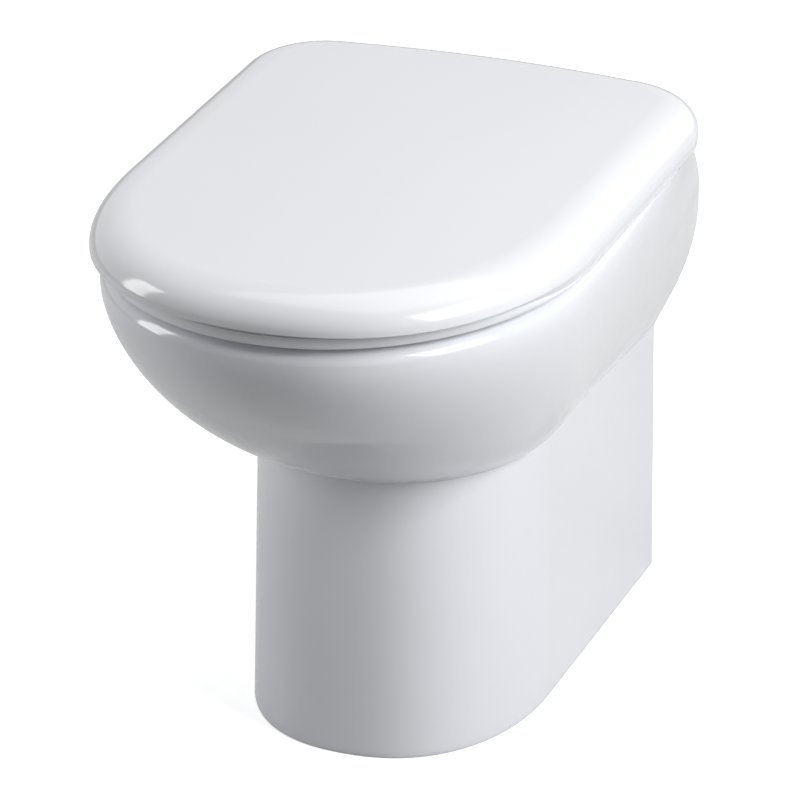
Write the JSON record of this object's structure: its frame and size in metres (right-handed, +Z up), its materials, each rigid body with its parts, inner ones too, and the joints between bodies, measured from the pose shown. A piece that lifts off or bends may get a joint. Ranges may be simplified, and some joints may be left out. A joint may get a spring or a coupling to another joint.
{
  "type": "back to wall toilet",
  "caption": "White ceramic back to wall toilet pan with a straight skirted pedestal, a soft close seat and a wrap-over lid on lift-off hinges.",
  "frame": {"origin": "on the floor, in the middle of the part's bounding box", "axes": "+Z up, +Y toward the wall the pan stands against, +X to the right of someone who faces the pan"},
  "size_m": [0.3592, 0.568, 0.442],
  "materials": {
    "china": "glazed, high gloss",
    "seat_plastic": "moulded, high gloss",
    "white_nylon": "moulded, satin",
    "grey_plastic": "moulded, satin",
    "pad_rubber": "soft, matt",
    "seal_rubber": "soft, matt",
    "stainless": "turned and brushed",
    "chrome": "plated, polished"
  },
  "bodies": {
    "pan": {"pan": "china", "fixing_sleeves": "white_nylon", "inlet_seal": "seal_rubber", "hinge_studs": "stainless", "stud_gaskets": "pad_rubber", "stud_discs": "chrome", "cone_washers": "seal_rubber", "stud_washers": "stainless", "wing_nuts": "white_nylon"},
    "carrier": {"hinge_post_left": "chrome", "hinge_post_right": "chrome", "hinge_pins": "stainless", "button_spring_left": "stainless", "button_spring_right": "stainless"},
    "left_button": {"release_button_left": "chrome"},
    "right_button": {"release_button_right": "chrome"},
    "seat": {"seat_ring": "seat_plastic", "seat_damper": "grey_plastic", "seat_bush": "white_nylon", "seat_buffers_front": "pad_rubber", "seat_buffers_rear": "pad_rubber"},
    "lid": {"lid": "seat_plastic", "lid_damper": "grey_plastic", "lid_bush": "white_nylon", "lid_buffers": "pad_rubber"}
  },
  "joints": [
    {"name": "seat_lift_off", "type": "slide", "parent": "pan", "child": "carrier", "axis": [0, 0, 1], "range_m": [0, 0.06]},
    {"name": "left_button_press", "type": "slide", "parent": "carrier", "child": "left_button", "axis": [1, 0, 0], "range_m": [0, 0.0025], "stiffness_N_per_m": 700, "springref_m": -0.002, "deforming": ["button_spring_left"]},
    {"name": "right_button_press", "type": "slide", "parent": "carrier", "child": "right_button", "axis": [-1, 0, 0], "range_m": [0, 0.0025], "stiffness_N_per_m": 700, "springref_m": -0.002, "deforming": ["button_spring_right"]},
    {"name": "seat_hinge", "type": "hinge", "parent": "carrier", "child": "seat", "pos_m": [0, 0.218, 0.422], "axis": [1, 0, 0], "range_deg": [-93, 0]},
    {"name": "lid_hinge", "type": "hinge", "parent": "seat", "child": "lid", "pos_m": [0, 0.218, 0.422], "axis": [-1, 0, 0], "range_deg": [0, 93]}
  ]
}
